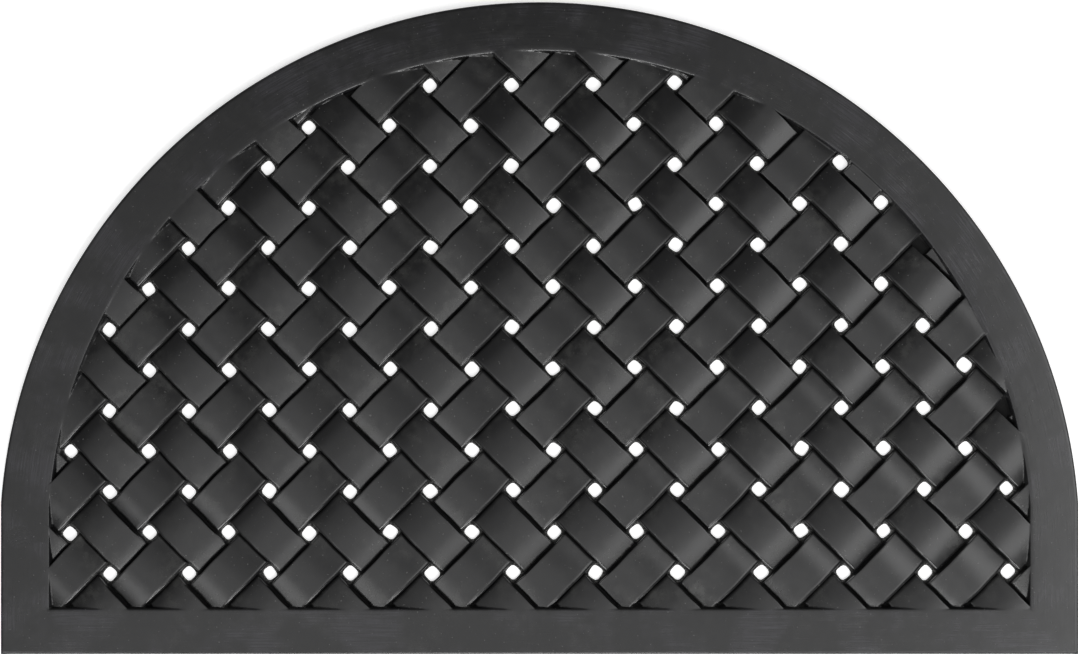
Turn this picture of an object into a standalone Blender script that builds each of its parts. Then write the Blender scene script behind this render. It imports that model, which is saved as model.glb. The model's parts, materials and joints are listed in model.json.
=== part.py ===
"""Half-round rubber doormat: a flat border round a field that is moulded as a basket weave.

The mat is one moulding of rubber, so it is one solid. It lies on the floor with its face up, in metres:
+X runs along the straight edge, +Y from the straight edge to the top of the arc and +Z up. The origin is
the middle of the bounding box, on the floor.
"""

import math

import bmesh
import bpy
from mathutils import Matrix, Vector

# Outline
MAT_WIDTH = 0.750
MAT_DEPTH = 0.454
MAT_THICKNESS = 0.009
ARC_RADIUS = 0.376
ARC_CENTRE_Y = MAT_DEPTH / 2 - ARC_RADIUS
ARC_STEPS = 48
BORDER_WIDTH = 0.0338
STRAIGHT_BORDER_WIDTH = 0.0317

# Weave. Straps cross at right angles over a thin web, a little off 45 degrees to the straight edge.
HALF_DIAGONAL = 0.02845
STRAP_PITCH = HALF_DIAGONAL * math.sqrt(2)
STRAP_WIDTH = 0.0276
WEAVE_ORIGIN = Vector((0.0101, -0.0284))
WEAVE_TURN = math.radians(45.4)
WEB_THICKNESS = 0.0022
CREST_HEIGHT = MAT_THICKNESS
WAVE_HALF_RISE = 0.0028
STRAP_NUMBERS = range(-11, 12)
UP_STRAP_FOOT = 0.4 * WEB_THICKNESS
DOWN_STRAP_FOOT = 0.6 * WEB_THICKNESS

# Where a strap's top changes slope, in pitches either way from each of its crests
WAVE_STATIONS = (-0.72, -0.44, -0.15, 0.15, 0.44, 0.72)

# Holes. Each is a square with its corners cut, its sides along the straps.
HOLE_SIDE = 0.0088
HOLE_CORNER_CUT = 0.0022
CUT_MARGIN = 0.003

# The rows of holes, counted in half diagonals from the hole at WEAVE_ORIGIN. Holes are two columns apart.
HOLE_ROWS = [
    {"row": 7, "first_column": -3, "last_column": 3},
    {"row": 6, "first_column": -6, "last_column": 4},
    {"row": 5, "first_column": -7, "last_column": 7},
    {"row": 4, "first_column": -8, "last_column": 8},
    {"row": 3, "first_column": -9, "last_column": 7},
    {"row": 2, "first_column": -10, "last_column": 8},
    {"row": 1, "first_column": -11, "last_column": 9},
    {"row": 0, "first_column": -10, "last_column": 10},
    {"row": -1, "first_column": -11, "last_column": 9},
    {"row": -2, "first_column": -12, "last_column": 10},
    {"row": -3, "first_column": -11, "last_column": 11},
    {"row": -4, "first_column": -12, "last_column": 10},
    {"row": -5, "first_column": -11, "last_column": 11},
]

RUBBER_COLOUR = (0.03, 0.03, 0.031, 1.0)
RUBBER_ROUGHNESS = 0.5
SHARP_ANGLE = math.radians(30)
WELD_DISTANCE = 0.00001


def clear_scene():
    """Takes every object out of the scene."""
    for old in list(bpy.data.objects):
        bpy.data.objects.remove(old)


def new_collection(name):
    """A collection of the scene's own."""
    made = bpy.data.collections.new(name)
    bpy.context.scene.collection.children.link(made)
    return made


def rubber_material():
    """Black moulded rubber with a soft sheen."""
    rubber = bpy.data.materials.new("black_rubber")
    rubber.use_nodes = True
    shader = rubber.node_tree.nodes["Principled BSDF"]
    shader.inputs["Base Color"].default_value = RUBBER_COLOUR
    shader.inputs["Roughness"].default_value = RUBBER_ROUGHNESS
    shader.inputs["Metallic"].default_value = 0.0
    return rubber


def half_round(share):
    """Outline in plan: the mat's edge at share 0 and the border's inner edge at share 1."""
    inset = share * BORDER_WIDTH
    radius = ARC_RADIUS - inset
    side = MAT_WIDTH / 2 - inset
    bottom = -MAT_DEPTH / 2 + share * STRAIGHT_BORDER_WIDTH
    start = math.acos(side / radius)
    points = [(-side, bottom), (side, bottom)]
    for step in range(ARC_STEPS + 1):
        angle = start + (math.pi - 2 * start) * step / ARC_STEPS
        points.append((radius * math.cos(angle), ARC_CENTRE_Y + radius * math.sin(angle)))
    return points


def extruded(name, outlines, depth, place, collection):
    """A solid of this depth, from closed outlines in its own XY plane, half of it on each side of them.

    An outline inside another is an opening. place is the matrix that puts it on the mat.
    """
    curve = bpy.data.curves.new(name, "CURVE")
    curve.dimensions = "2D"
    curve.fill_mode = "BOTH"
    curve.extrude = depth / 2
    for outline in outlines:
        spline = curve.splines.new("POLY")
        spline.points.add(len(outline) - 1)
        for point, (x, y) in zip(spline.points, outline):
            point.co = (x, y, 0, 1)
        spline.use_cyclic_u = True
    drawn = bpy.data.objects.new(name + "_outline", curve)
    collection.objects.link(drawn)
    drawn.matrix_world = place
    bpy.context.view_layer.update()
    graph = bpy.context.evaluated_depsgraph_get()
    mesh = bpy.data.meshes.new_from_object(drawn.evaluated_get(graph))
    bpy.data.objects.remove(drawn)
    weld_caps(mesh)
    made = bpy.data.objects.new(name, mesh)
    collection.objects.link(made)
    made.matrix_world = place
    return made


def weld_caps(mesh):
    """Joins an extruded curve's caps to its sides and turns its faces outward."""
    work = bmesh.new()
    work.from_mesh(mesh)
    bmesh.ops.remove_doubles(work, verts=work.verts, dist=WELD_DISTANCE)
    bmesh.ops.recalc_face_normals(work, faces=work.faces)
    work.to_mesh(mesh)
    work.free()


def plate(name, outlines, low, high, collection):
    """A flat plate between two heights, from outlines in plan."""
    place = Matrix.Translation((0, 0, (low + high) / 2))
    return extruded(name, outlines, high - low, place, collection)


def weave_place(along, across):
    """Where the weave's own axes come on the mat: along runs up to the right, across up to the left."""
    return WEAVE_ORIGIN + Matrix.Rotation(WEAVE_TURN, 2) @ Vector((along, across))


def is_on_mat(place):
    """Whether a place in plan is inside the mat's edge."""
    if place.y < ARC_CENTRE_Y:
        return place.y > -MAT_DEPTH / 2 and abs(place.x) < MAT_WIDTH / 2
    return (place - Vector((0, ARC_CENTRE_Y))).length < ARC_RADIUS


def wave_height(pitches, crest_at):
    """Top of a strap at a place along it. It is a cosine whose crests are two pitches apart."""
    return CREST_HEIGHT - WAVE_HALF_RISE * (1 - math.cos(math.pi * (pitches - crest_at)))


def strap_profile(number, runs_up):
    """Side view of a strap as (place along it in pitches, height) pairs, or nothing where none runs.

    A strap that runs up to the right is on top at each crossing whose number is odd or even as its own
    is. The straps that run up to the left are on top at the others.
    """
    crossings = []
    for other in STRAP_NUMBERS:
        along, across = (other, number) if runs_up else (number, other)
        if is_on_mat(weave_place((along + 0.5) * STRAP_PITCH, (across + 0.5) * STRAP_PITCH)):
            crossings.append(other)
    if not crossings:
        return []
    first, last = crossings[0] - 0.2, crossings[-1] + 1.2
    crest_at = number + 0.5 if runs_up else number + 1.5
    profile = []
    for crest in range(-14, 15):
        for station in WAVE_STATIONS:
            pitches = crest_at + 2 * crest + station
            if first < pitches < last:
                profile.append((pitches, wave_height(pitches, crest_at)))
    return profile


def strap(number, runs_up, collection):
    """One strap: its side view, from inside the web up to its wavy top, extruded by its width."""
    profile = strap_profile(number, runs_up)
    if not profile:
        return
    foot = UP_STRAP_FOOT if runs_up else DOWN_STRAP_FOOT
    outline = [(pitches * STRAP_PITCH, top) for pitches, top in profile]
    outline = [(outline[0][0], foot)] + outline + [(outline[-1][0], foot)]
    middle = (number + 0.5) * STRAP_PITCH
    turn = WEAVE_TURN
    if not runs_up:
        middle = -middle
        turn += math.radians(90)
    place = (
        Matrix.Translation(WEAVE_ORIGIN.to_3d())
        @ Matrix.Rotation(turn, 4, "Z")
        @ Matrix.Translation((0, middle, 0))
        @ Matrix.Rotation(math.radians(90), 4, "X")
    )
    extruded(f"{'up' if runs_up else 'down'}_strap_{number}", [outline], STRAP_WIDTH, place, collection)


def hole_outline(along, across):
    """Outline in plan of the hole at a place on the weave's own axes."""
    half = HOLE_SIDE / 2
    short = half - HOLE_CORNER_CUT
    corners = [(half, -short), (half, short), (short, half), (-short, half)]
    corners += [(-x, -y) for x, y in corners]
    return [tuple(weave_place(along + x, across + y)) for x, y in corners]


def hole_punches(collection):
    """One mesh of all the punches, which stand clear of each other."""
    outlines = []
    for row in HOLE_ROWS:
        for column in range(row["first_column"], row["last_column"] + 1, 2):
            along = (row["row"] + column) / 2 * STRAP_PITCH
            across = (row["row"] - column) / 2 * STRAP_PITCH
            outlines.append(hole_outline(along, across))
    return plate("hole_punches", outlines, -CUT_MARGIN, MAT_THICKNESS + CUT_MARGIN, collection)


def boolean(target, operation, operand):
    """Applies one Boolean to target. The operand is an object, or a collection of them."""
    modifier = target.modifiers.new(operation.lower(), "BOOLEAN")
    modifier.operation = operation
    modifier.solver = "EXACT"
    if isinstance(operand, bpy.types.Collection):
        modifier.operand_type = "COLLECTION"
        modifier.collection = operand
    else:
        modifier.object = operand
    bpy.context.view_layer.update()
    graph = bpy.context.evaluated_depsgraph_get()
    mesh = bpy.data.meshes.new_from_object(target.evaluated_get(graph))
    target.modifiers.clear()
    target.data = mesh


def main():
    clear_scene()
    parts = new_collection("half_round_rubber_doormat")
    helpers = new_collection("helpers")
    strap_helpers = new_collection("strap_helpers")
    for number in STRAP_NUMBERS:
        for runs_up in (True, False):
            strap(number, runs_up, strap_helpers)
    block = plate("field_block", [half_round(0.5)], -CUT_MARGIN, MAT_THICKNESS + CUT_MARGIN, helpers)
    web = plate("web", [half_round(0.6)], 0, WEB_THICKNESS, helpers)
    border = plate("border", [half_round(0), half_round(1)], 0, MAT_THICKNESS, helpers)
    punches = hole_punches(helpers)

    weave = plate("weave", [half_round(0.6)], 0.3 * WEB_THICKNESS, 0.8 * WEB_THICKNESS, helpers)
    boolean(weave, "UNION", strap_helpers)
    boolean(weave, "INTERSECT", block)
    mat = bpy.data.objects.new("mat", border.data.copy())
    mat.data.transform(border.matrix_world)
    parts.objects.link(mat)
    boolean(mat, "UNION", web)
    boolean(mat, "UNION", weave)
    boolean(mat, "DIFFERENCE", punches)
    mat.data.materials.clear()
    mat.data.materials.append(rubber_material())
    mat.data.shade_smooth()
    mat.data.set_sharp_from_angle(angle=SHARP_ANGLE)

    for helper in list(helpers.objects) + list(strap_helpers.objects):
        helper.hide_render = True
        helper.display_type = "WIRE"


main()
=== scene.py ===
# %% [markdown]
# # A half-round rubber doormat
# The mat is pressed from black rubber in a heated mould. A flat border runs round a field that looks woven
# from wide straps, but it is all one piece: the straps are only raised, and a thin web of rubber joins
# them. A small drain hole goes through the web in every gap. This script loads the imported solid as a
# fixed frame, then works out a much finer skin for it as one closed mesh, and gives that mesh its rubber,
# a pale floor and soft studio light. Lengths are in millimetres until a mesh is made. The floor, the
# lights and the camera are in metres, as Blender has them.

# %% Load the frame
import json
import math

import bpy
import numpy as np
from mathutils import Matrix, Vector
from mathutils.geometry import delaunay_2d_cdt

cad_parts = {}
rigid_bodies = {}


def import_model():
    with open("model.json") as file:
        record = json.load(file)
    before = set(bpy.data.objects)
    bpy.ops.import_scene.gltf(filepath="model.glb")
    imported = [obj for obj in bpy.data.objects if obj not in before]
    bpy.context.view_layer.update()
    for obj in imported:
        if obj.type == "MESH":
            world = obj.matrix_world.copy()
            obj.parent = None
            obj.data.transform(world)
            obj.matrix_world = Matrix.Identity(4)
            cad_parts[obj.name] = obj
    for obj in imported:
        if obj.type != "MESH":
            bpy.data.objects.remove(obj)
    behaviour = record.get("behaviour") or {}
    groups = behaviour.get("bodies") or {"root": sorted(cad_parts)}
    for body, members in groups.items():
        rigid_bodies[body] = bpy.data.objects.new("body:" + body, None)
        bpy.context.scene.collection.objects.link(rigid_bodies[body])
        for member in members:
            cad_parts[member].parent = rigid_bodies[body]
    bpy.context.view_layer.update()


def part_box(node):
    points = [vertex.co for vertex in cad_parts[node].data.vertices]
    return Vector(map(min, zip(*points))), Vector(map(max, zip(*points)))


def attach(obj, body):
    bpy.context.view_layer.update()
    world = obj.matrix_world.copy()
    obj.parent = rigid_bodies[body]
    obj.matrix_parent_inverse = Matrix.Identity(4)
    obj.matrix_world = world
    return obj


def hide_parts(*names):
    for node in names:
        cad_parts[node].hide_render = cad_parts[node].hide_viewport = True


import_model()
MM = 0.001
mat_low, mat_high = (np.array(corner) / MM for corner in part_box("mat"))
MAT_WIDTH, MAT_DEPTH, MAT_THICKNESS = mat_high - mat_low
print("frame:", np.round(mat_high - mat_low, 1), "mm")

# %% [markdown]
# ## The outline
# In plan the mat has a straight edge, two short straight sides and an arc. Every line that follows the
# edge, such as the lip of the border, is the same outline drawn in by some inset. One function gives
# all of them, so they stay parallel and their corners stay sharp.

# %% Outline of the mat, drawn in by any inset
ARC_RADIUS = 376.0
ARC_CENTRE_Y = MAT_DEPTH / 2 - ARC_RADIUS
BORDER_WIDTH = 33.8
STRAIGHT_BORDER_WIDTH = 31.7
BORDER_DIFFERENCE = BORDER_WIDTH - STRAIGHT_BORDER_WIDTH
TRIAL_STEP = 5.0


def outline(inset, straight_inset, step):
    """Closed outline as an array of points about step apart, as many for every inset.

    The straight edge is drawn in by straight_inset and the rest by inset. The arc's points are the
    centre plus (radius - inset) times (cos, sin) of an angle that runs from one side to the other.
    """
    side, radius = MAT_WIDTH / 2 - inset, ARC_RADIUS - inset
    bottom = -MAT_DEPTH / 2 + straight_inset
    start = math.acos(side / radius)
    shoulder_y = ARC_CENTRE_Y + radius * math.sin(start)
    arc_count = round(math.pi * ARC_RADIUS / step)
    side_count = round((ARC_CENTRE_Y + MAT_DEPTH / 2) / step)
    angles = np.linspace(start, math.pi - start, arc_count, endpoint=False)
    arc = np.c_[radius * np.cos(angles), ARC_CENTRE_Y + radius * np.sin(angles)]
    across = np.linspace(-side, side, round(MAT_WIDTH / step), endpoint=False)
    climb = np.linspace(bottom, shoulder_y, side_count, endpoint=False)
    straight = np.c_[across, np.full(len(across), bottom)]
    right = np.c_[np.full(side_count, side), climb]
    left = np.c_[np.full(side_count, -side), shoulder_y + bottom - climb]
    return np.concatenate([straight, right, arc, left])


def depth_inside(x, y, inset, straight_inset):
    """Distance in from the outline drawn in by these insets: the least of three distances.

    They are those to the nearer side, to the straight edge and, above the arc's centre, to the arc.
    """
    to_side = MAT_WIDTH / 2 - inset - np.abs(x)
    to_straight = y + MAT_DEPTH / 2 - straight_inset
    to_arc = ARC_RADIUS - inset - np.hypot(x, y - ARC_CENTRE_Y)
    to_arc = np.where(y > ARC_CENTRE_Y, to_arc, np.inf)
    return np.minimum(np.minimum(to_side, to_straight), to_arc)


print("edge:", len(outline(0, 0, TRIAL_STEP)), "points, arc centre at y", round(ARC_CENTRE_Y, 1))

# %% [markdown]
# ## The weave's own axes
# The straps run at about 45 degrees, so the weave is easier to work out on axes of its own: a runs up to
# the right and b up to the left, and the straps are straight there. One function carries a point of the
# weave to the mat. It turns and shifts it, and adds how far this moulding is out of true: its rows bow,
# swell, lean and fan out by a few millimetres towards the ends, as can be measured from the holes in the
# photograph, and every edge wanders by a fraction of one. A lattice or a curve modifier could bend a
# straight mesh in the same way, but a formula can also be undone, and the way back is needed below.

# %% From the weave's axes to the mat and back
HALF_DIAGONAL = 28.45
PITCH = HALF_DIAGONAL * math.sqrt(2)
WEAVE_ORIGIN = (10.1, -28.3)
WEAVE_TURN = math.radians(45.4)
BOW = 4.4
BOW_LEVEL = 0.25
SWELL = 2.6
SWELL_TURN = 1.5
LEAN = 1.3
SHEAR = 0.5
FAN = 1.9
ARCH = 1.4
DROOP = 0.8
WANDER = 0.16
WANDER_WAVE = 43.0
SLANT_RATES = (1.7, 1.3)
WANDER_PHASES = (1.0, 2.0, 4.0, 0.5)
GUESSES = 12


def creep(x, y):
    """How far the moulding is out of true, from x and y as shares u and v of half the mat.

    In x it is bow * (u^2 - level) + swell * (u - turn * u^3) + (shear - lean * u) * v. In y it is
    fan * u * v - arch * v^2 - droop * u^3. Both have a slow sine and a slanted, quicker one on top.
    """
    u, v = 2 * x / MAT_WIDTH, 2 * y / MAT_DEPTH
    turn = 2 * math.pi / WANDER_WAVE
    rate, phase = SLANT_RATES, WANDER_PHASES
    wander_x = WANDER * (np.sin(turn * y + phase[0]) + np.sin(rate[0] * turn * (x - y) + phase[1]))
    wander_y = WANDER * (np.sin(turn * x + phase[2]) + np.sin(rate[1] * turn * (x + y) + phase[3]))
    creep_x = BOW * (u * u - BOW_LEVEL) + SWELL * (u - SWELL_TURN * u**3) + (SHEAR - LEAN * u) * v
    creep_y = FAN * u * v - ARCH * v * v - DROOP * u**3
    return creep_x + wander_x, creep_y + wander_y


def weave_to_mat(a, b):
    """The place on the mat: the weave's origin, plus a and b turned, plus the creep there."""
    x = WEAVE_ORIGIN[0] + a * math.cos(WEAVE_TURN) - b * math.sin(WEAVE_TURN)
    y = WEAVE_ORIGIN[1] + a * math.sin(WEAVE_TURN) + b * math.cos(WEAVE_TURN)
    move_x, move_y = creep(x, y)
    return x + move_x, y + move_y


def mat_to_weave(x, y):
    """The way back. The creep is small, so guessing it again a few times from the result settles it."""
    true_x, true_y = x, y
    for _ in range(GUESSES):
        move_x, move_y = creep(true_x, true_y)
        true_x, true_y = x - move_x, y - move_y
    east, north = true_x - WEAVE_ORIGIN[0], true_y - WEAVE_ORIGIN[1]
    a = east * math.cos(WEAVE_TURN) + north * math.sin(WEAVE_TURN)
    b = north * math.cos(WEAVE_TURN) - east * math.sin(WEAVE_TURN)
    return a, b


trial_x = np.array([-1.0, 0.0, 1.0]) * (MAT_WIDTH / 2 - BORDER_WIDTH)
trial_y = np.array([-1.0, 0.0, -1.0]) * (MAT_DEPTH / 2 - BORDER_WIDTH)
there_and_back = np.array(weave_to_mat(*mat_to_weave(trial_x, trial_y))) - (trial_x, trial_y)
print("there and back:", np.abs(there_and_back).max(), "mm")

# %% [markdown]
# ## The height of the face
# From above, every point of the face has one height, so the whole relief is a height function. The straps
# only seem to pass under each other: each visible stretch is a pillow of its own, with a dark groove
# between its end and the strap that seems to cover it. Its top is a parabola along the strap, so it crests
# in the middle and slopes down at both ends, ever more steeply. It is a little lower than the border. Each
# of the two sets of pillows has its own edges and its own round shoulder, so some grooves are wider than
# others. Real straps could be modelled and woven, but the mat has no gaps under its straps, and a height
# function makes one skin without any joins.

# %% Height of one pillow
PILLOW_EDGES = [
    {"along": "a", "low_end": -24.4, "high_end": 26.7, "low_side": -14.9, "high_side": 14.0, "shoulder": 2.2},
    {"along": "b", "low_end": -26.0, "high_end": 25.2, "low_side": -13.4, "high_side": 15.0, "shoulder": 1.5},
]
WEB = 2.2
CREST = 8.96
END_DROP = 4.1
HALF_LENGTH = 25.0
PILLOW_SWINGS = {
    "lift": {"size": 0.035, "by_column": 1.7, "by_row": 2.1},
    "tip": {"size": 0.22, "by_column": 5.3, "by_row": 3.7},
    "roll": {"size": 0.10, "by_column": 2.9, "by_row": -4.3},
}
DRAFT = 0.3
HIGH_SIDE_SHOULDER = 0.5
END_SHOULDER = 1.5


def raised(top, shoulder, inward):
    """Height of something raised over the web, by the distance inward from its foot.

    Over the draft it climbs in a straight line to one shoulder radius below the top. Then it follows a
    quarter circle, top - r + sqrt(r^2 - (r - inward + draft)^2), and past that it is the top.
    """
    wall = WEB + (top - shoulder - WEB) * np.clip(inward / DRAFT, 0, 1)
    to_go = np.clip(shoulder - (inward - DRAFT), 0, shoulder)
    rounded = top - shoulder + np.sqrt(shoulder**2 - to_go**2)
    return np.where(inward < DRAFT, wall, rounded)


def swing(name, column, row):
    """A small amount that is each pillow's own: size * sin(by_column * column + by_row * row)."""
    rates = PILLOW_SWINGS[name]
    return rates["size"] * np.sin(rates["by_column"] * column + rates["by_row"] * row)


def pillow(along, across, column, row, runs_along_a):
    """Height by the distances from its middle, for the pillow in this column and row of the weave.

    With t as along / half length, its top is crest + lift + tip * t + roll * across / pitch - drop * t^2.
    """
    along_a, along_b = PILLOW_EDGES
    edge = {
        name: np.where(runs_along_a, along_a[name], along_b[name])
        for name in ("low_end", "high_end", "low_side", "high_side", "shoulder")
    }
    lift, tip, roll = (swing(name, column, row) for name in ("lift", "tip", "roll"))
    t = along / HALF_LENGTH
    top = CREST + lift + tip * t + roll * across / PITCH - END_DROP * t**2
    from_ends = np.minimum(along - edge["low_end"], edge["high_end"] - along)
    low_side = raised(top, edge["shoulder"], across - edge["low_side"])
    high_side = raised(top, HIGH_SIDE_SHOULDER, edge["high_side"] - across)
    return np.minimum(np.minimum(low_side, high_side), raised(top, END_SHOULDER, from_ends))


near_end = 0.84 * HALF_LENGTH
print("pillow's end is", round(CREST - float(pillow(near_end, 0.0, 0, 0, True)), 2), "mm below its crest")

# %% [markdown]
# ### The border's bank
# Where the border ends, its lip is slightly rounded and falls to the field as a bank. The pillows run into
# the bank and it covers their ends, so the lip shows only where the field is lower. The height there is
# the greater of the two, rounded where they cross. A Boolean of a border and a field would leave torn,
# needle-thin triangles along the lip, and it could not round the crossing.

# %% Height of the field and of the whole face
EDGE_ROUND = 1.5
LIP_ROUND = 0.45
BANK_SLOPE = 1.25
FADE = 0.12
BLEND = 0.25
KEEP_PAST_LIP = 4.5


def field_height(a, b):
    """Height of the woven field: the pillow of this crossing, or the end of the one beside it."""
    column, row = np.floor(a / PITCH), np.floor(b / PITCH)
    from_column, from_row = a - (column + 0.5) * PITCH, b - (row + 0.5) * PITCH
    runs_along_a = (column - row) % 2 == 0
    along = np.where(runs_along_a, from_column, from_row)
    across = np.where(runs_along_a, from_row, from_column)
    step = np.copysign(1, across)
    next_column = column + np.where(runs_along_a, 0, step)
    next_row = row + np.where(runs_along_a, step, 0)
    beside = pillow(across - step * PITCH, along, next_column, next_row, ~runs_along_a)
    return np.maximum(pillow(along, across, column, row, runs_along_a), beside)


def smooth_maximum(one, other):
    """The greater of two heights, rounded where they cross: (p + q + sqrt((p - q)^2 + blend^2)) / 2."""
    return (one + other + np.sqrt((one - other) ** 2 + BLEND**2)) / 2


def face_height(a, b):
    """Height of the mat's face: the field, the border's bank over it, and the rounded outer edge.

    The bank falls from the border by slope * (sqrt(d^2 + round^2) - d), where d is the distance into the
    border. So it is level well inside the border, and out in the field it falls by twice the slope. In
    under the border, the field sinks by the fade for each millimetre, so that it comes out level there.
    """
    x, y = weave_to_mat(a, b)
    into_border = -depth_inside(x, y, BORDER_WIDTH, STRAIGHT_BORDER_WIDTH)
    field = field_height(a, b) - FADE * np.clip(into_border, 0, None)
    fall = BANK_SLOPE * (np.sqrt(into_border**2 + LIP_ROUND**2) - into_border)
    height = np.minimum(smooth_maximum(field, MAT_THICKNESS - fall), MAT_THICKNESS)
    height = np.where(into_border > KEEP_PAST_LIP, MAT_THICKNESS, height)
    to_go = np.clip(EDGE_ROUND - depth_inside(x, y, 0, 0), 0, EDGE_ROUND)
    return np.minimum(height, MAT_THICKNESS - EDGE_ROUND + np.sqrt(EDGE_ROUND**2 - to_go**2))


trial = np.linspace(-5 * PITCH, 5 * PITCH, 20001)
print("field from", field_height(trial, 0 * trial).min(), "to", round(field_height(trial, trial).max(), 2))

# %% [markdown]
# ## Where the points go
# A grid all over would miss the walls or need millions of points. Instead, each pillow is a small grid of
# its own, with rows of points at its foot, at the top of its wall and round its shoulder, and even steps
# in between. What is left between the pillows is flat and needs hardly any points.

# %% Places of the points across and along one pillow
QUARTER_TURNS = np.radians([0, 30, 60, 90])
STEP_PAST_SHOULDER = 0.9


def places_in(shoulder):
    """Distances inward from an edge: its foot, the turns of its shoulder and a step past them."""
    turns = DRAFT + shoulder * (1 - np.cos(QUARTER_TURNS))
    return np.concatenate([[0], turns, [DRAFT + shoulder + STEP_PAST_SHOULDER]])


def places_across(low, low_shoulder, high, high_shoulder, inner):
    """A rising row of places from one edge of a pillow to the other."""
    return np.concatenate([low + places_in(low_shoulder), inner, (high - places_in(high_shoulder))[::-1]])


ALONG_INNER = np.array([-19.0, -15.5, -12.0, -8.5, -5.0, -1.7, 1.7, 5.0, 8.5, 12.0, 15.5, 19.0])
ACROSS_INNER = np.array([-6.0, 0.0, 6.0])
print("rows along a pillow:", len(ALONG_INNER) + 2 * len(places_in(END_SHOULDER)))

# %% [markdown]
# ### The lines to keep
# A triangulation is free to cut across a shoulder, and then the strap's edge looks chewed. So the rows of
# points near each edge are joined by lines that it has to keep. The middle of a pillow is nearly flat and
# is left free. Only what lies inside the lip is kept, and a little that runs on under the border.

# %% Points and lines of every pillow
NEAR_SIDE = 9.0
NEAR_END = 20.0
PITCHES_OUT = 13


def grid_lines(along, across, count):
    """Pairs of point numbers along the rows and columns near the edges, for count grids in a row."""
    grid = np.arange(count * len(across) * len(along)).reshape(count, len(across), len(along))
    rows, columns = grid[:, np.abs(across) > NEAR_SIDE], grid[:, :, np.abs(along) > NEAR_END]
    along_rows = np.stack([rows[..., :-1].ravel(), rows[..., 1:].ravel()], axis=1)
    along_columns = np.stack([columns[:, :-1].ravel(), columns[:, 1:].ravel()], axis=1)
    return np.concatenate([along_rows, along_columns])


counts = np.arange(-PITCHES_OUT, PITCHES_OUT + 1)
columns, rows = (grid.ravel() for grid in np.meshgrid(counts, counts))
plan, lines, total = [], [], 0
for edge in PILLOW_EDGES:
    runs_along_a = edge["along"] == "a"
    along = places_across(edge["low_end"], END_SHOULDER, edge["high_end"], END_SHOULDER, ALONG_INNER)
    across = places_across(
        edge["low_side"], edge["shoulder"], edge["high_side"], HIGH_SIDE_SHOULDER, ACROSS_INNER
    )
    s, t = np.meshgrid(along, across)
    chosen = ((columns - rows) % 2 == 0) == runs_along_a
    step_a, step_b = (s, t) if runs_along_a else (t, s)
    a = (columns[chosen, None, None] + 0.5) * PITCH + step_a
    b = (rows[chosen, None, None] + 0.5) * PITCH + step_b
    plan.append(np.c_[a.ravel(), b.ravel()])
    lines.append(grid_lines(along, across, chosen.sum()) + total)
    total += a.size
plan, lines = np.concatenate(plan), np.concatenate(lines)
inside = depth_inside(*weave_to_mat(*plan.T), BORDER_WIDTH, STRAIGHT_BORDER_WIDTH) > -KEEP_PAST_LIP
number = np.cumsum(inside) - 1
lines = number[lines[inside[lines].all(axis=1)]]
plan = plan[inside]
print("field:", len(plan), "points,", len(lines), "lines")

# %% [markdown]
# ## The drain holes
# The holes are punched squares with soft corners, and no two are quite alike. A superellipse gives that
# shape with one formula. Each hole gets a few rings: the wall's top, a small rounding and the flat web.
# The rows are counted in half diagonals of the weave. The pillows' edges aren't centred on the weave's
# lines, so one offset moves all the holes towards the middle of the gaps that are left.

# %% Rings round every hole
HOLE_ROWS = [
    {"row": 7, "first_column": -3, "last_column": 3},
    {"row": 6, "first_column": -6, "last_column": 4},
    {"row": 5, "first_column": -7, "last_column": 7},
    {"row": 4, "first_column": -8, "last_column": 8},
    {"row": 3, "first_column": -9, "last_column": 7},
    {"row": 2, "first_column": -10, "last_column": 8},
    {"row": 1, "first_column": -11, "last_column": 9},
    {"row": 0, "first_column": -10, "last_column": 10},
    {"row": -1, "first_column": -11, "last_column": 9},
    {"row": -2, "first_column": -12, "last_column": 10},
    {"row": -3, "first_column": -11, "last_column": 11},
    {"row": -4, "first_column": -12, "last_column": 10},
    {"row": -5, "first_column": -11, "last_column": 11},
]
HOLE_SIDE = 8.9
HOLE_SQUARENESS = 3.7
HOLE_POINTS = 20
HOLE_ROUND = 0.35
HOLE_RING_TURNS = np.radians([0, 45, 90])
HOLE_OFFSET = (0.8, -0.1)
HOLE_SHIFT = 0.35
MOST_SHIFT = 0.45
HOLE_TWIST = math.radians(5)
HOLE_SPREAD = 0.03
SEED = 7

chance = np.random.default_rng(SEED)
hole_centres = np.array([
    ((row["row"] + column) / 2 * PITCH, (row["row"] - column) / 2 * PITCH)
    for row in HOLE_ROWS
    for column in range(row["first_column"], row["last_column"] + 1, 2)
])
hole_count = len(hole_centres)
hole_shifts = chance.normal(0, HOLE_SHIFT, (hole_count, 2)).clip(-MOST_SHIFT, MOST_SHIFT)
hole_places = hole_centres + HOLE_OFFSET + hole_shifts
hole_twists = chance.normal(0, HOLE_TWIST, hole_count)
hole_sizes = HOLE_SIDE / 2 * (1 + chance.normal(0, HOLE_SPREAD, (hole_count, 2)))


def hole_ring(offset):
    """Ring of points round each hole: (|cos|^n + |sin|^n)^(-1/n) times its half sides, plus offset."""
    turn = np.arange(HOLE_POINTS) * 2 * math.pi / HOLE_POINTS
    n = HOLE_SQUARENESS
    radius = (np.abs(np.cos(turn)) ** n + np.abs(np.sin(turn)) ** n) ** (-1 / n)
    u = np.cos(turn) * (radius * hole_sizes[:, :1] + offset)
    v = np.sin(turn) * (radius * hole_sizes[:, 1:] + offset)
    cos, sin = np.cos(hole_twists)[:, None], np.sin(hole_twists)[:, None]
    a = hole_places[:, :1] + u * cos - v * sin
    b = hole_places[:, 1:] + u * sin + v * cos
    return np.stack([a, b], axis=2)


ring_offsets = HOLE_ROUND * (1 - np.cos(HOLE_RING_TURNS))
ring_heights = WEB - HOLE_ROUND * (1 - np.sin(HOLE_RING_TURNS))
hole_rings = np.stack([hole_ring(offset) for offset in ring_offsets])
print("holes:", hole_count)

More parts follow.
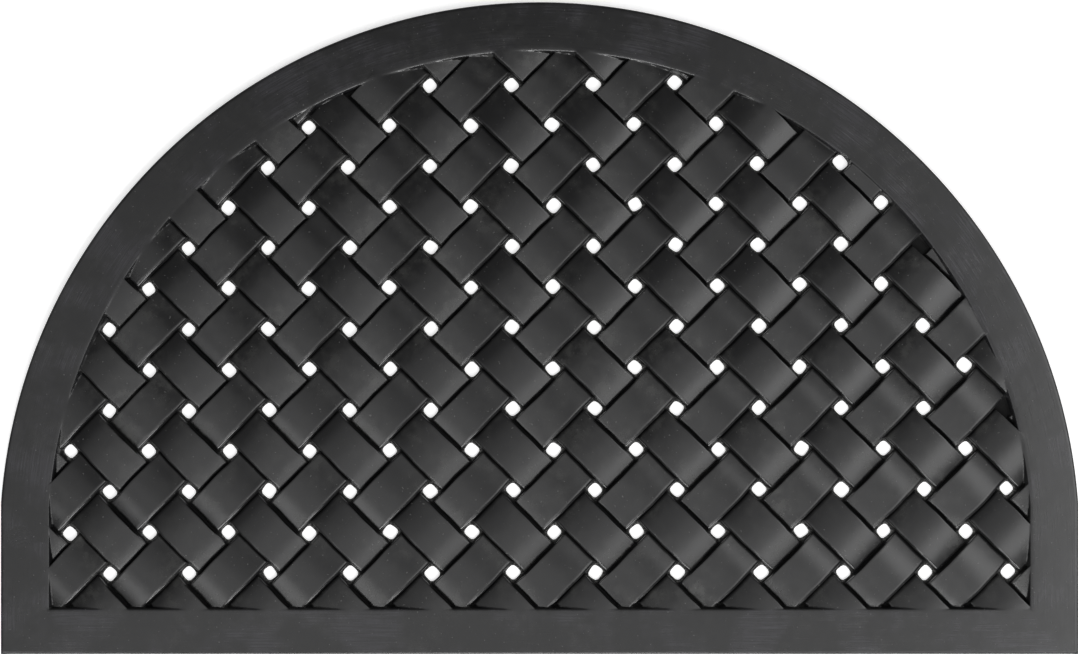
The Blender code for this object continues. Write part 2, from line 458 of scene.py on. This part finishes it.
# %% [markdown]
# ## One sheet of triangles
# All the points and lines go to a constrained Delaunay triangulation, which keeps every line as an edge
# and adds a point where a strap's edge runs under the border's lip. It runs on the weave's axes, where
# the lines of the straps are exactly straight. It also fills the holes, so their triangles are found
# again by their middles and left out.

# %% Triangulate a plan
MERGE = 1e-4


def ring_lines(rings, count, first=0):
    """Pairs of point numbers round rings of count points each, stored one after another from first."""
    turn = np.arange(count)
    once = np.stack([turn, (turn + 1) % count], axis=1)
    return (once + count * np.arange(rings)[:, None, None]).reshape(-1, 2) + first


def triangulate(points, lines):
    """Triangles that keep these lines. Points that coincide are made one first.

    Returns the plan's points, its triangles, and for each given point its number in the plan.
    """
    _, first, same = np.unique(
        np.round(points / MERGE), axis=0, return_index=True, return_inverse=True
    )
    same = same.reshape(-1)
    kept = np.sort(same[lines], axis=1)
    kept = np.unique(kept[kept[:, 0] != kept[:, 1]], axis=0)
    found, _, triangles, origins, _, _ = delaunay_2d_cdt(
        [Vector(point) for point in points[first].tolist()], kept.tolist(), [], 0, MERGE
    )
    sources = np.concatenate([np.array(group, int) for group in origins])
    made = np.repeat(np.arange(len(origins)), [len(group) for group in origins])
    number = np.zeros(len(first), int)
    number[sources] = made
    return np.array([tuple(point) for point in found]), np.array(triangles), number[same]


def outside_holes(middles):
    """True for each point of the weave that is in no hole: it isn't to the left of all of a ring's edges."""
    grid = np.round(hole_centres / PITCH * 2).astype(int)
    lowest = grid.min(axis=0) - 1
    lookup = np.full(grid.max(axis=0) - lowest + 2, -1)
    lookup[tuple((grid - lowest).T)] = np.arange(hole_count)
    cell = np.round(middles / PITCH).astype(int) * 2 - lowest
    known = ((cell >= 0) & (cell < lookup.shape)).all(axis=1)
    nearest = np.where(known, lookup[tuple((cell * known[:, None]).T)], -1)
    starts = hole_rings[0][nearest]
    sides = np.roll(starts, -1, axis=1) - starts
    toward = middles[:, None] - starts
    inward = sides[..., 0] * toward[..., 1] - sides[..., 1] * toward[..., 0]
    return (nearest < 0) | (inward <= 0).any(axis=1)


print("hole centres in no hole:", outside_holes(hole_places).sum())

# %% [markdown]
# ### Loops along the edge
# The border is flat and needs few points, but its outer edge is a quarter round and its lip and bank carry
# the light, so loops of points follow them closely. A loop's lines are left out beside a hole, where they
# would cross the hole's rings.

# %% Loops round the rim, over the border and along the lip
LIP_STEP = 1.9
BANK_INSETS = np.array([-6.4, -5.4, -4.5, -3.7, -3.0, -2.3, -1.7, -1.2, -0.7, -0.3, 0.1, 0.5, 1.1, 2.0, 3.2])
RIM_STEP = 4.0
BORDER_STEP = 12.0
BORDER_LOOPS = 3
STEP_PAST_RIM = 1.2
CLEAR_OF_HOLE = 6.2
rim_insets = np.append(EDGE_ROUND * (1 - np.cos(QUARTER_TURNS)), EDGE_ROUND + STEP_PAST_RIM)
border_insets = np.linspace(rim_insets[-1], BORDER_WIDTH, BORDER_LOOPS + 2)[1:-1]
lip_insets = BORDER_WIDTH - BANK_INSETS
loops = [outline(inset, inset, RIM_STEP) for inset in rim_insets]
loops += [outline(inset, inset, BORDER_STEP) for inset in border_insets]
loops += [outline(inset, inset - BORDER_DIFFERENCE, LIP_STEP) for inset in lip_insets]
print("loops:", len(loops), "with", sum(len(loop) for loop in loops), "points")

# %% [markdown]
# ### The face
# Now everything is triangulated together, and the height function lifts the flat sheet into shape. Only
# the rings of the holes get their heights directly, because the height function knows nothing of holes.

# %% The face, from every point and line so far
ring_points = hole_rings.reshape(-1, 2)
sizes = np.array([len(plan)] + [len(loop) for loop in loops])
starts = np.cumsum(sizes)
loop_points = [np.c_[mat_to_weave(*loop.T)] for loop in loops]
face_lines = [lines]
for points, first in zip(loop_points, starts):
    to_holes = np.linalg.norm(points[:, None] - hole_places, axis=2).min(axis=1)
    ring = ring_lines(1, len(points))
    face_lines.append(ring[(to_holes[ring] > CLEAR_OF_HOLE).all(axis=1)] + first)
face_lines.append(ring_lines(hole_rings.shape[0] * hole_count, HOLE_POINTS, starts[-1]))
face, triangles, number = triangulate(
    np.concatenate([plan, *loop_points, ring_points]), np.concatenate(face_lines)
)
middles = face[triangles].mean(axis=1)
on_mat = depth_inside(*weave_to_mat(*middles.T), 0, 0) > 0
triangles = triangles[on_mat & outside_holes(middles)]
rim_top = number[starts[0]:starts[0] + sizes[1]]
hole_tops = number[starts[-1]:starts[-1] + len(ring_points)].reshape(-1, hole_count, HOLE_POINTS)
heights = face_height(*face.T)
heights[hole_tops] = ring_heights[:, None, None]
round_hole = np.zeros(len(face))
round_hole[hole_tops] = 1
print("face:", len(face), "points,", len(triangles), "triangles")

# %% [markdown]
# ## The underside and the walls
# The underside of such a mat is flat, because it is pressed against the plain half of the mould. It has
# the same holes and an outline a touch smaller, since the outer wall leans in at its foot. It could be
# the face's own triangles at height nothing, but it needs far fewer, so it is triangulated by itself.

# %% The underside
FOOT_INSET = 0.4
FOOT_HEIGHT = 0.5
foot = outline(FOOT_INSET, FOOT_INSET, RIM_STEP)
rim = outline(0, 0, RIM_STEP)
under, under_triangles, under_number = triangulate(
    np.concatenate([np.c_[mat_to_weave(*foot.T)], hole_rings[0].reshape(-1, 2)]),
    np.concatenate([
        ring_lines(1, len(foot)), ring_lines(hole_count, HOLE_POINTS, len(foot))
    ]),
)
middles = under[under_triangles].mean(axis=1)
on_foot = depth_inside(*weave_to_mat(*middles.T), FOOT_INSET, FOOT_INSET) > 0
under_triangles = under_triangles[on_foot & outside_holes(middles)]
print("underside:", len(under), "points,", len(under_triangles), "triangles")

# %% [markdown]
# ### The walls
# Strips of triangles join the underside to the face: one strip round the outside, in two steps, and one
# down each hole. The rings of both ends have the same number of points in the same order, so each strip
# needs no search. Points that nothing uses are dropped at the end.

# %% Join the face, the walls and the underside
def strip(upper, lower):
    """Two triangles for each pair of neighbours, between rings of point numbers that run anticlockwise."""
    next_upper, next_lower = np.roll(upper, -1, axis=-1), np.roll(lower, -1, axis=-1)
    first = np.stack([lower, next_lower, next_upper], axis=-1)
    second = np.stack([lower, next_upper, upper], axis=-1)
    return np.concatenate([first.reshape(-1, 3), second.reshape(-1, 3)])


wall_start, under_start = len(face), len(face) + len(rim)
wall = wall_start + np.arange(len(rim))
hole_bottoms = under_number[len(foot):].reshape(hole_count, HOLE_POINTS) + under_start
face_x, face_y = weave_to_mat(*face.T)
under_x, under_y = weave_to_mat(*under.T)
vertices = np.concatenate([
    np.c_[face_x, face_y, heights],
    np.c_[rim, np.full(len(rim), FOOT_HEIGHT)],
    np.c_[under_x, under_y, np.zeros(len(under))],
])
shell = np.concatenate([
    triangles,
    strip(rim_top, wall),
    strip(wall, under_number[:len(foot)] + under_start),
    strip(hole_tops[0], hole_bottoms)[:, ::-1],
    under_triangles[:, ::-1] + under_start,
])
used, shell = np.unique(shell, return_inverse=True)
shell = shell.reshape(-1, 3)
vertices = vertices[used]
plan_of_used = np.concatenate([face, np.c_[mat_to_weave(*rim.T)], under])[used]
round_hole = np.concatenate([round_hole, np.zeros(len(rim) + len(under))])[used]
print("body:", len(vertices), "points,", len(shell), "triangles")

# %% [markdown]
# ### Is it closed?
# The real mat is solid rubber, so its skin has no opening and every edge is shared by exactly two
# triangles. The volume is the sum of the tetrahedra between the origin and each triangle. It comes out
# above nothing only when the triangles face outwards.

# %% Check that the body is closed and faces outwards
corners = vertices[shell]
edges = np.sort(np.concatenate([shell[:, [0, 1]], shell[:, [1, 2]], shell[:, [2, 0]]]), axis=1)
shared = np.unique(edges, axis=0, return_counts=True)[1]
volume = np.einsum("ij,ij->i", corners[:, 0], np.cross(corners[:, 1], corners[:, 2])).sum() / 6
print("edges not shared by two:", (shared != 2).sum(), " volume:", round(volume / 1000), "cm3")

# %% [markdown]
# ## From arrays to a mesh
# Two maps tell the materials which way each surface runs. On the border the map follows the edge, so
# that its grinding marks can run along it. On the field it follows the strap that is on top there, and
# each stretch of strap gets its own shift, so that no two carry the same marks. Blender can unwrap a mesh
# by itself, but it doesn't know which way the rubber was ground or which strap is on top.

# %% A map along the border
UPRIGHT_AT = 2000
STRAIGHT_AT = 4000


def edge_map(corner_xy, middle):
    """Metres along the edge and in from it, by the part of the edge that each triangle is nearest to.

    Along the arc the distance is the angle times the radius, along the short sides it is y and along the
    straight edge it is x. The sides and the straight edge are moved far away on the map from the arc.
    """
    x, y = corner_xy[..., 0], corner_xy[..., 1]
    angle = np.arctan2(y - ARC_CENTRE_Y, x)
    below = middle[:, 1] < ARC_CENTRE_Y
    side = np.where(middle[:, 0] > 0, 1.0, -1.0)[:, None]
    to_side = MAT_WIDTH / 2 - np.abs(middle[:, 0])
    nearest_straight = (middle[:, 1] + MAT_DEPTH / 2 < to_side) & below
    arc = np.stack([angle * ARC_RADIUS, ARC_RADIUS - np.hypot(x, y - ARC_CENTRE_Y)], axis=-1)
    upright = np.stack([y * side + UPRIGHT_AT, MAT_WIDTH / 2 - np.abs(x)], axis=-1)
    straight = np.stack([x + STRAIGHT_AT, y + MAT_DEPTH / 2], axis=-1)
    out = np.where(below[:, None, None], upright, arc)
    return np.where(nearest_straight[:, None, None], straight, out) * MM


edge_uv = edge_map(corners[..., :2], corners[..., :2].mean(axis=1))
print("edge map from", edge_uv.min(axis=(0, 1)), "to", edge_uv.max(axis=(0, 1)))

# %% A map along the straps
MAP_SHIFTS = {"along": {"by_row": 71.0, "by_column": 23.0}, "across": {"by_row": 37.0, "by_column": -53.0}}


def strap_map(corner_ab, middle):
    """Metres along and across the strap on top, with a shift for each stretch."""
    column, row = np.floor(middle[:, 0] / PITCH), np.floor(middle[:, 1] / PITCH)
    from_column, from_row = (middle - (np.stack([column, row], axis=1) + 0.5) * PITCH).T
    runs_along_a = (column - row) % 2 == 0
    away = np.where(runs_along_a, from_row, from_column)
    along_a, along_b = PILLOW_EDGES
    low = np.where(runs_along_a, along_a["low_side"], along_b["low_side"])
    high = np.where(runs_along_a, along_a["high_side"], along_b["high_side"])
    beside = (away < low) | (away > high)
    step = np.where(beside, np.sign(away), 0)
    row, column = row + np.where(runs_along_a, step, 0), column + np.where(runs_along_a, 0, step)
    turned = (runs_along_a == beside)[:, None, None]
    along_across = np.where(turned, corner_ab[..., ::-1], corner_ab)
    shift = np.stack([
        row * rates["by_row"] + column * rates["by_column"] for rates in MAP_SHIFTS.values()
    ], axis=-1)
    return (along_across + shift[:, None, :]) * MM


corner_plan = plan_of_used[shell]
strap_uv = strap_map(corner_plan, corner_plan.mean(axis=1))
print("strap map from", strap_uv.min(axis=(0, 1)), "to", strap_uv.max(axis=(0, 1)))

# %% [markdown]
# ### Shares that the material reads
# Three numbers at each point tell the material where it is: how far it is on the border, how well the
# mould polished it, and whether it is on the rounding of a hole. The mould's polish reached only what is
# raised. The polish share is set by height alone, and the material also uses it for painted shade: all
# that is low, in the grooves and on the web, is painted nearly black. The hole share places painted light
# on the web round each hole. Several materials with hard seams could do the same, but shares can fade
# from one to the next.

# %% Shares of border, and of polish and painted shade
BORDER_FADE = 2.0
# Below the first height the rubber is dull and painted darker as painted shade; above the second it is
# polished and unshaded
DULL_AND_SHADED_BELOW = 3.0
POLISHED_AND_UNSHADED_ABOVE = 4.4
into_border = -depth_inside(vertices[:, 0], vertices[:, 1], BORDER_WIDTH, STRAIGHT_BORDER_WIDTH)
on_border = np.clip(into_border / BORDER_FADE + 0.5, 0, 1)
polish_and_shade = np.clip((vertices[:, 2] - DULL_AND_SHADED_BELOW) / (POLISHED_AND_UNSHADED_ABOVE - DULL_AND_SHADED_BELOW), 0, 1)
print("on the border:", round(on_border.mean(), 3), " polished:", round(polish_and_shade.mean(), 3))

# %% [markdown]
# ### One mesh for one moulding
# The mat is one piece of rubber, so it is one mesh. Rounded forms are shaded smooth and only true corners
# stay sharp, such as the foot of a wall. The arrays go into the mesh all at once, which is far quicker
# than adding points one by one.

# %% The mesh, with its maps and shares
SHARP = math.radians(38)


def make_mesh(name, points, faces):
    """A smooth-shaded mesh of triangles, from millimetres to metres, with its sharp edges marked."""
    mesh = bpy.data.meshes.new(name)
    mesh.from_pydata((points * MM).tolist(), [], faces.tolist())
    mesh.polygons.foreach_set("use_smooth", np.ones(len(faces), bool))
    mesh.set_sharp_from_angle(angle=SHARP)
    mesh.update()
    return mesh


mat_mesh = make_mesh("moulded_mat", vertices, shell)
for map_name, values in (("edge", edge_uv), ("strap", strap_uv)):
    layer = mat_mesh.uv_layers.new(name=map_name)
    layer.uv.foreach_set("vector", values.astype(np.float32).ravel())
for share_name, values in (("border", on_border), ("polish_and_shade", polish_and_shade), ("round_hole", round_hole)):
    share = mat_mesh.attributes.new(share_name, "FLOAT", "POINT")
    share.data.foreach_set("value", values.astype(np.float32))
mat = bpy.data.objects.new("moulded_mat", mat_mesh)
bpy.context.scene.collection.objects.link(mat)
print(mat.name, len(mat_mesh.polygons), "triangles, mended:", mat_mesh.validate(verbose=False))

# %% [markdown]
# ## Black moulded rubber
# The real one is rubber filled with carbon black, pressed and cured in a polished steel mould. Carbon black
# soaks up nearly all light, so the eye sees little but the skin's satin gloss. Over it lie a haze of wax
# that has come to the surface, scuffs along the border and a few specks. The grooves and the web are
# painted nearly black as painted shade, and the web round each hole is painted lighter as painted light. A
# picture of rubber could be wrapped round the mat instead, but its marks would repeat and blur close up.
# Here each mark is a noise with a real size. One helper adds every node, and two more use it for what is
# needed most: the product of two numbers, and one colour over another.

# %% Colours and helpers for nodes
def linear(hex_colour):
    """Linear RGBA of an sRGB hex colour: c/12.92 when dark, and ((c + 0.055)/1.055) to the 2.4 otherwise."""
    shares = [int(hex_colour[k:k + 2], 16) / 255 for k in (1, 3, 5)]
    return [c / 12.92 if c <= 0.04045 else ((c + 0.055) / 1.055) ** 2.4 for c in shares] + [1.0]


def per_mm(size):
    """The scale of a noise whose features are this many millimetres, on coordinates in metres."""
    return 1 / (size * MM)


def add_node(tree, kind, inputs=None, **settings):
    """A node with its settings. An input, by name or number, takes a value or another node's output."""
    node = tree.nodes.new(kind)
    for name, value in settings.items():
        setattr(node, name, value)
    for name, value in (inputs or {}).items():
        if isinstance(value, bpy.types.NodeSocket):
            tree.links.new(value, node.inputs[name])
        else:
            node.inputs[name].default_value = value
    return node


def times(tree, one, other):
    """The product of two numbers that the tree works out."""
    return add_node(tree, "ShaderNodeMath", {0: one, 1: other}, operation="MULTIPLY").outputs["Value"]


def laid_over(tree, under, over, share):
    """A colour with another laid over it by a share. Sockets 6 and 7 and output 2 are a mix's colours."""
    inputs = {"Factor": share, 6: under, 7: over}
    return add_node(tree, "ShaderNodeMix", inputs, data_type="RGBA").outputs[2]


RUBBER_BLACK = linear("#121213")
# Near-black painted shade, for the low rubber in the grooves and on the web
GROOVE_SHADE_BLACK = linear("#030303")
HAZE_GREY = linear("#686864")
SCUFF_VIOLET = linear("#6C6A74")
# Pale grey for the lone specks, and for the painted light on the web round each hole
SPECK_AND_HOLE_LIGHT_GREY = linear("#8A8A88")
rubber = bpy.data.materials.new("satin moulded black rubber")
rubber.use_nodes = True
tree = rubber.node_tree
tree.nodes.clear()
place = add_node(tree, "ShaderNodeTexCoord").outputs["Object"]
on_strap = add_node(tree, "ShaderNodeUVMap", uv_map="strap").outputs["UV"]
by_edge = add_node(tree, "ShaderNodeUVMap", uv_map="edge").outputs["UV"]
border = add_node(tree, "ShaderNodeAttribute", attribute_name="border").outputs["Fac"]
# The polish share also carries the painted shade of the low rubber
polish_and_shade_share = add_node(tree, "ShaderNodeAttribute", attribute_name="polish_and_shade").outputs["Fac"]
at_hole = add_node(tree, "ShaderNodeAttribute", attribute_name="round_hole").outputs["Fac"]
print("rubber black:", np.round(RUBBER_BLACK, 4))

# %% [markdown]
# ### The haze of wax
# Antioxidant wax creeps out of rubber as it ages. Shoes wipe it off the crests, so it stays as soft grey
# clouds, thickest where a strap dips. Broad clouds times narrow smears gives patches of no plain shape, and
# the height of each point says how much of them is left.

# %% Haze
CLOUD_SIZE = 30.0
SMEAR_SIZE = 9.0
HAZE_ON_CREST = 0.35
HAZE_FULL_AT = CREST - END_DROP / 2
clouds = add_node(tree, "ShaderNodeTexNoise", {
    "Vector": place, "Scale": per_mm(CLOUD_SIZE), "Detail": 3.0, "Roughness": 0.55,
}).outputs["Fac"]
smears = add_node(tree, "ShaderNodeTexNoise", {
    "Vector": on_strap, "Scale": per_mm(SMEAR_SIZE), "Detail": 4.0, "Roughness": 0.62,
}).outputs["Fac"]
cloudy = add_node(tree, "ShaderNodeMapRange", {
    "Value": clouds, "From Min": 0.40, "From Max": 0.68,
}).outputs["Result"]
smeared = add_node(tree, "ShaderNodeMapRange", {
    "Value": smears, "From Min": 0.40, "From Max": 0.72,
}).outputs["Result"]
height = add_node(tree, "ShaderNodeSeparateXYZ", {"Vector": place}).outputs["Z"]
unwiped = add_node(tree, "ShaderNodeMapRange", {
    "Value": height, "From Min": CREST * MM, "From Max": HAZE_FULL_AT * MM, "To Min": HAZE_ON_CREST,
}).outputs["Result"]
haze = times(tree, times(tree, cloudy, smeared), unwiped)
print("nodes up to the haze:", len(tree.nodes))

# %% [markdown]
# ### Marks along the border
# The border's mould was ground, and its grinding marks run along the edge, as on the edge map. The map is
# squeezed along its length, which draws a noise out into streaks. A second noise decides where feet have
# scuffed them to a faint violet grey. Anisotropic gloss could show ground rubber too, but it shows no
# single marks.

# %% Grinding marks and scuffs
STREAK_LENGTH = 34.0
STREAK_WIDTH = 1.1
SCUFF_SIZE = 42.0
squeezed = add_node(tree, "ShaderNodeMapping", {
    "Vector": by_edge, "Scale": (STREAK_WIDTH / STREAK_LENGTH, 1.0, 1.0),
}).outputs["Vector"]
streaks = add_node(tree, "ShaderNodeTexNoise", {
    "Vector": squeezed, "Scale": per_mm(STREAK_WIDTH), "Detail": 3.0, "Roughness": 0.6,
}).outputs["Fac"]
unevenness = add_node(tree, "ShaderNodeMapRange", {
    "Value": streaks, "From Min": 0.3, "From Max": 0.7, "To Min": -1.0, "To Max": 1.0,
}).outputs["Result"]
ground = times(tree, unevenness, border)
scuff_cloud = add_node(tree, "ShaderNodeTexNoise", {
    "Vector": by_edge, "Scale": per_mm(SCUFF_SIZE), "Detail": 4.0, "Roughness": 0.6,
}).outputs["Fac"]
scuffed = add_node(tree, "ShaderNodeMapRange", {
    "Value": scuff_cloud, "From Min": 0.47, "From Max": 0.62,
}).outputs["Result"]
light_streak = add_node(tree, "ShaderNodeMapRange", {
    "Value": streaks, "From Min": 0.42, "From Max": 0.66, "To Min": 0.25,
}).outputs["Result"]
scuff = times(tree, times(tree, scuffed, light_streak), border)
print("nodes up to the scuffs:", len(tree.nodes))

# %% [markdown]
# ### Painted light round the holes, and specks
# The web round each hole is painted lighter, in pale grains drawn at about a millimetre: painted light,
# where more light reaches the open web than the deep grooves. A few lone specks lie all over: those are
# the highest peaks of another noise. Real grains could be scattered as objects, but nobody would see
# their shapes.

# %% Painted light round the holes, and specks
HOLE_LIGHT_GRAIN_SIZE = 1.2
SPECK_SIZE = 1.5
grains = add_node(tree, "ShaderNodeTexNoise", {
    "Vector": place, "Scale": per_mm(HOLE_LIGHT_GRAIN_SIZE), "Detail": 1.0,
}).outputs["Fac"]
grainy = add_node(tree, "ShaderNodeMapRange", {
    "Value": grains, "From Min": 0.45, "From Max": 0.6, "To Min": 0.1,
}).outputs["Result"]
# Painted light on the web round each hole, broken into grains
hole_light = times(tree, grainy, at_hole)
dots = add_node(tree, "ShaderNodeTexNoise", {
    "Vector": place, "Scale": per_mm(SPECK_SIZE), "Detail": 0.0,
}).outputs["Fac"]
specks = add_node(tree, "ShaderNodeMapRange", {
    "Value": dots, "From Min": 0.80, "From Max": 0.85,
}).outputs["Result"]
print("nodes up to the specks:", len(tree.nodes))

# %% [markdown]
# ### All of it on one skin
# Each mark is a thin veil over the black, so the colours are laid over each other by small shares. The
# mould touched only the raised rubber with its polish, so the veils show there alone. The low rubber is
# painted nearly black by the polish share, as painted shade in the grooves and on the web, and round the
# holes painted light lifts the web again. A mix for each veil, one after the other, keeps every share in
# a table, where it can be changed by itself.

# %% The skin's colour
HAZE_SHARE = 0.22
SCUFF_SHARE = 0.15
HOLE_LIGHT_SHARE = 0.6
SPECK_SHARE = 0.22
veils = [
    {"mark": haze, "share": HAZE_SHARE, "colour": HAZE_GREY},
    {"mark": scuff, "share": SCUFF_SHARE, "colour": SCUFF_VIOLET},
    {"mark": specks, "share": SPECK_SHARE, "colour": SPECK_AND_HOLE_LIGHT_GREY},
]
# Painted shade: the low rubber is painted nearly black by the polish share, which is set by height
skin = laid_over(tree, GROOVE_SHADE_BLACK, RUBBER_BLACK, polish_and_shade_share)
for veil in veils:
    seen = times(tree, times(tree, veil["mark"], veil["share"]), polish_and_shade_share)
    skin = laid_over(tree, skin, veil["colour"], seen)
# Painted light: the web round each hole is lifted towards pale grey
skin = laid_over(tree, skin, SPECK_AND_HOLE_LIGHT_GREY, times(tree, hole_light, HOLE_LIGHT_SHARE))
print("veils:", [veil["share"] for veil in veils])

# %% [markdown]
# ### Gloss and relief
# The polished rubber is satin, and the grooves are dull; their darkness is painted shade in their colour.
# Haze dulls the satin a little more, and the grinding marks make it swing. Bump adds what is finer than
# the mesh: shallow dents, the grain of the skin and the grinding marks. Their depths are in millimetres.
# Displacing the mesh itself would need millions of triangles for the same picture.

# %% The skin's gloss and relief
DULL = 0.95
SATIN = 0.24
HAZE_DULLS = 0.12
GROUND_SWINGS = 0.035
DENT_SIZE = 9.0
GRAIN_SIZE = 0.7
DENT_DEPTH = 0.05
GRAIN_DEPTH = 0.012
GROUND_DEPTH = 0.008
RUBBER_IOR = 1.52
gloss = add_node(tree, "ShaderNodeMapRange", {
    "Value": polish_and_shade_share, "To Min": DULL, "To Max": SATIN,
}).outputs["Result"]
dents = add_node(tree, "ShaderNodeTexNoise", {
    "Vector": place, "Scale": per_mm(DENT_SIZE), "Detail": 1.0,
}).outputs["Fac"]
grain = add_node(tree, "ShaderNodeTexNoise", {
    "Vector": place, "Scale": per_mm(GRAIN_SIZE), "Detail": 2.0,
}).outputs["Fac"]
for mark, share in ((haze, HAZE_DULLS), (ground, GROUND_SWINGS)):
    gloss = add_node(tree, "ShaderNodeMath", {
        0: mark, 1: share, 2: gloss,
    }, operation="MULTIPLY_ADD").outputs["Value"]
relief = 0.0
for mark, depth in ((dents, DENT_DEPTH), (grain, GRAIN_DEPTH), (ground, GROUND_DEPTH)):
    relief = add_node(tree, "ShaderNodeMath", {
        0: mark, 1: depth, 2: relief,
    }, operation="MULTIPLY_ADD").outputs["Value"]
bump = add_node(tree, "ShaderNodeBump", {"Height": relief, "Strength": 1.0, "Distance": MM})
shader = add_node(tree, "ShaderNodeBsdfPrincipled", {
    "Base Color": skin, "Roughness": gloss, "Normal": bump.outputs["Normal"], "IOR": RUBBER_IOR,
})
add_node(tree, "ShaderNodeOutputMaterial", {"Surface": shader.outputs["BSDF"]})
mat_mesh.materials.append(rubber)
print("rubber:", len(tree.nodes), "nodes")

# %% [markdown]
# ## The floor
# The mat was photographed from straight above on white, and the holes shine as white as the rest. A sheet
# of white acrylic that is lit from behind looks like that: it throws back the studio's light and glows a
# little of its own, so the mat leaves almost no shadow. A plain white floor would be grey in the holes.

# %% Floor
FLOOR_HALF = 4.0
FLOOR_WHITE = linear("#FBFBFB")
FLOOR_ROUGHNESS = 0.9
FLOOR_GLOW = 0.5
WHITE = linear("#FFFFFF")
floor_corners = np.array([[-1, -1, 0], [1, -1, 0], [1, 1, 0], [-1, 1, 0]]) * FLOOR_HALF
floor_mesh = bpy.data.meshes.new("floor")
floor_mesh.from_pydata(floor_corners.tolist(), [], [(0, 1, 2, 3)])
floor = bpy.data.objects.new("floor", floor_mesh)
floor_paint = bpy.data.materials.new("backlit white acrylic")
floor_paint.use_nodes = True
floor_shader = floor_paint.node_tree.nodes["Principled BSDF"]
floor_shader.inputs["Base Color"].default_value = FLOOR_WHITE
floor_shader.inputs["Roughness"].default_value = FLOOR_ROUGHNESS
floor_shader.inputs["Emission Color"].default_value = WHITE
floor_shader.inputs["Emission Strength"].default_value = FLOOR_GLOW
floor_mesh.materials.append(floor_paint)
bpy.context.scene.collection.objects.link(floor)
print("floor:", 2 * FLOOR_HALF, "m square")

# %% [markdown]
# ## The lights
# Black satin rubber shows little but what it mirrors, so its light and dark sides come from where the lights
# hang and how large they are. Each is a soft rectangle of some metres, placed and sized in metres, and
# their strengths were fitted to the brightness of the photograph's border and straps. Most hang level,
# and one long low strip faces the mat from the front. A picture of a studio round the scene could do
# the same, but nobody could move a lamp in it.

# %% Lights
SOFT_LIGHTS = [
    {"name": "panel_overhead", "x": -0.3, "y": -0.2, "z": 2.0, "width": 2.4, "depth": 1.2, "watts": 5.3},
    {"name": "panel_middle", "x": 0.0, "y": -0.5, "z": 1.95, "width": 1.8, "depth": 0.6, "watts": 1.5},
    {"name": "panel_back_right", "x": 1.2, "y": 0.7, "z": 2.0, "width": 1.8, "depth": 0.6, "watts": 2.4},
    {"name": "box_right", "x": 1.2, "y": -0.5, "z": 2.0, "width": 0.6, "depth": 1.8, "watts": 10.6},
    {"name": "box_far_right", "x": 1.8, "y": -0.2, "z": 2.0, "width": 0.6, "depth": 1.2, "watts": 7.3},
    {"name": "box_near_right", "x": 0.6, "y": -1.1, "z": 2.0, "width": 0.6, "depth": 0.6, "watts": 2.7},
    {"name": "panel_near", "x": -0.3, "y": -1.1, "z": 2.0, "width": 1.2, "depth": 0.6, "watts": 1.9},
    {"name": "box_near", "x": 0.0, "y": -1.7, "z": 2.0, "width": 0.6, "depth": 0.6, "watts": 10.7},
    {"name": "box_near_left", "x": -1.2, "y": -1.4, "z": 2.0, "width": 0.6, "depth": 1.2, "watts": 7.4},
    {"name": "strip_low", "x": 0.3, "y": -3.0, "z": 1.0, "width": 3.0, "depth": 0.8, "watts": 92.7},
]
FACE_MAT_BELOW = 1.5
WORLD_STRENGTH = 0.19
for row in SOFT_LIGHTS:
    light_data = bpy.data.lights.new(row["name"], "AREA")
    light_data.shape, light_data.energy = "RECTANGLE", row["watts"]
    light_data.size, light_data.size_y = row["width"], row["depth"]
    light = bpy.data.objects.new(row["name"], light_data)
    light.location = row["x"], row["y"], row["z"]
    if row["z"] < FACE_MAT_BELOW:
        light.rotation_euler = math.atan2(-row["y"], row["z"]), 0, 0
    bpy.context.scene.collection.objects.link(light)
world = bpy.data.worlds.new("studio")
world.use_nodes = True
background = world.node_tree.nodes["Background"]
background.inputs["Color"].default_value = WHITE
background.inputs["Strength"].default_value = WORLD_STRENGTH
bpy.context.scene.world = world
bpy.context.scene.view_settings.view_transform = "Standard"
print("lights:", len(SOFT_LIGHTS), "with", round(sum(row["watts"] for row in SOFT_LIGHTS), 1), "W")

# %% [markdown]
# ## The camera
# The mat is seen from straight above, as in the photograph. How much of a hole's wall shows tells roughly
# how high the camera was, and 1.4 m fits. The lens then follows from how much of the picture the mat
# fills. The camera stands half a millimetre off the middle, because the photograph isn't quite centred.

# %% Camera
LENS = 66.68
SENSOR_WIDTH = 36.0
CAMERA_PLACE = (0.0003, 0.0005, 1.4)
camera_data = bpy.data.cameras.new("camera")
camera_data.lens, camera_data.sensor_width = LENS, SENSOR_WIDTH
camera = bpy.data.objects.new("camera", camera_data)
camera.location = CAMERA_PLACE
bpy.context.scene.collection.objects.link(camera)
bpy.context.scene.camera = camera
print("camera:", LENS, "mm lens,", CAMERA_PLACE[2], "m up")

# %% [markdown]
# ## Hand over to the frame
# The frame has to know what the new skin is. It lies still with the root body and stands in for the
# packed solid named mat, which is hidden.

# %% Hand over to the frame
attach(mat, "root")
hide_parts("mat")
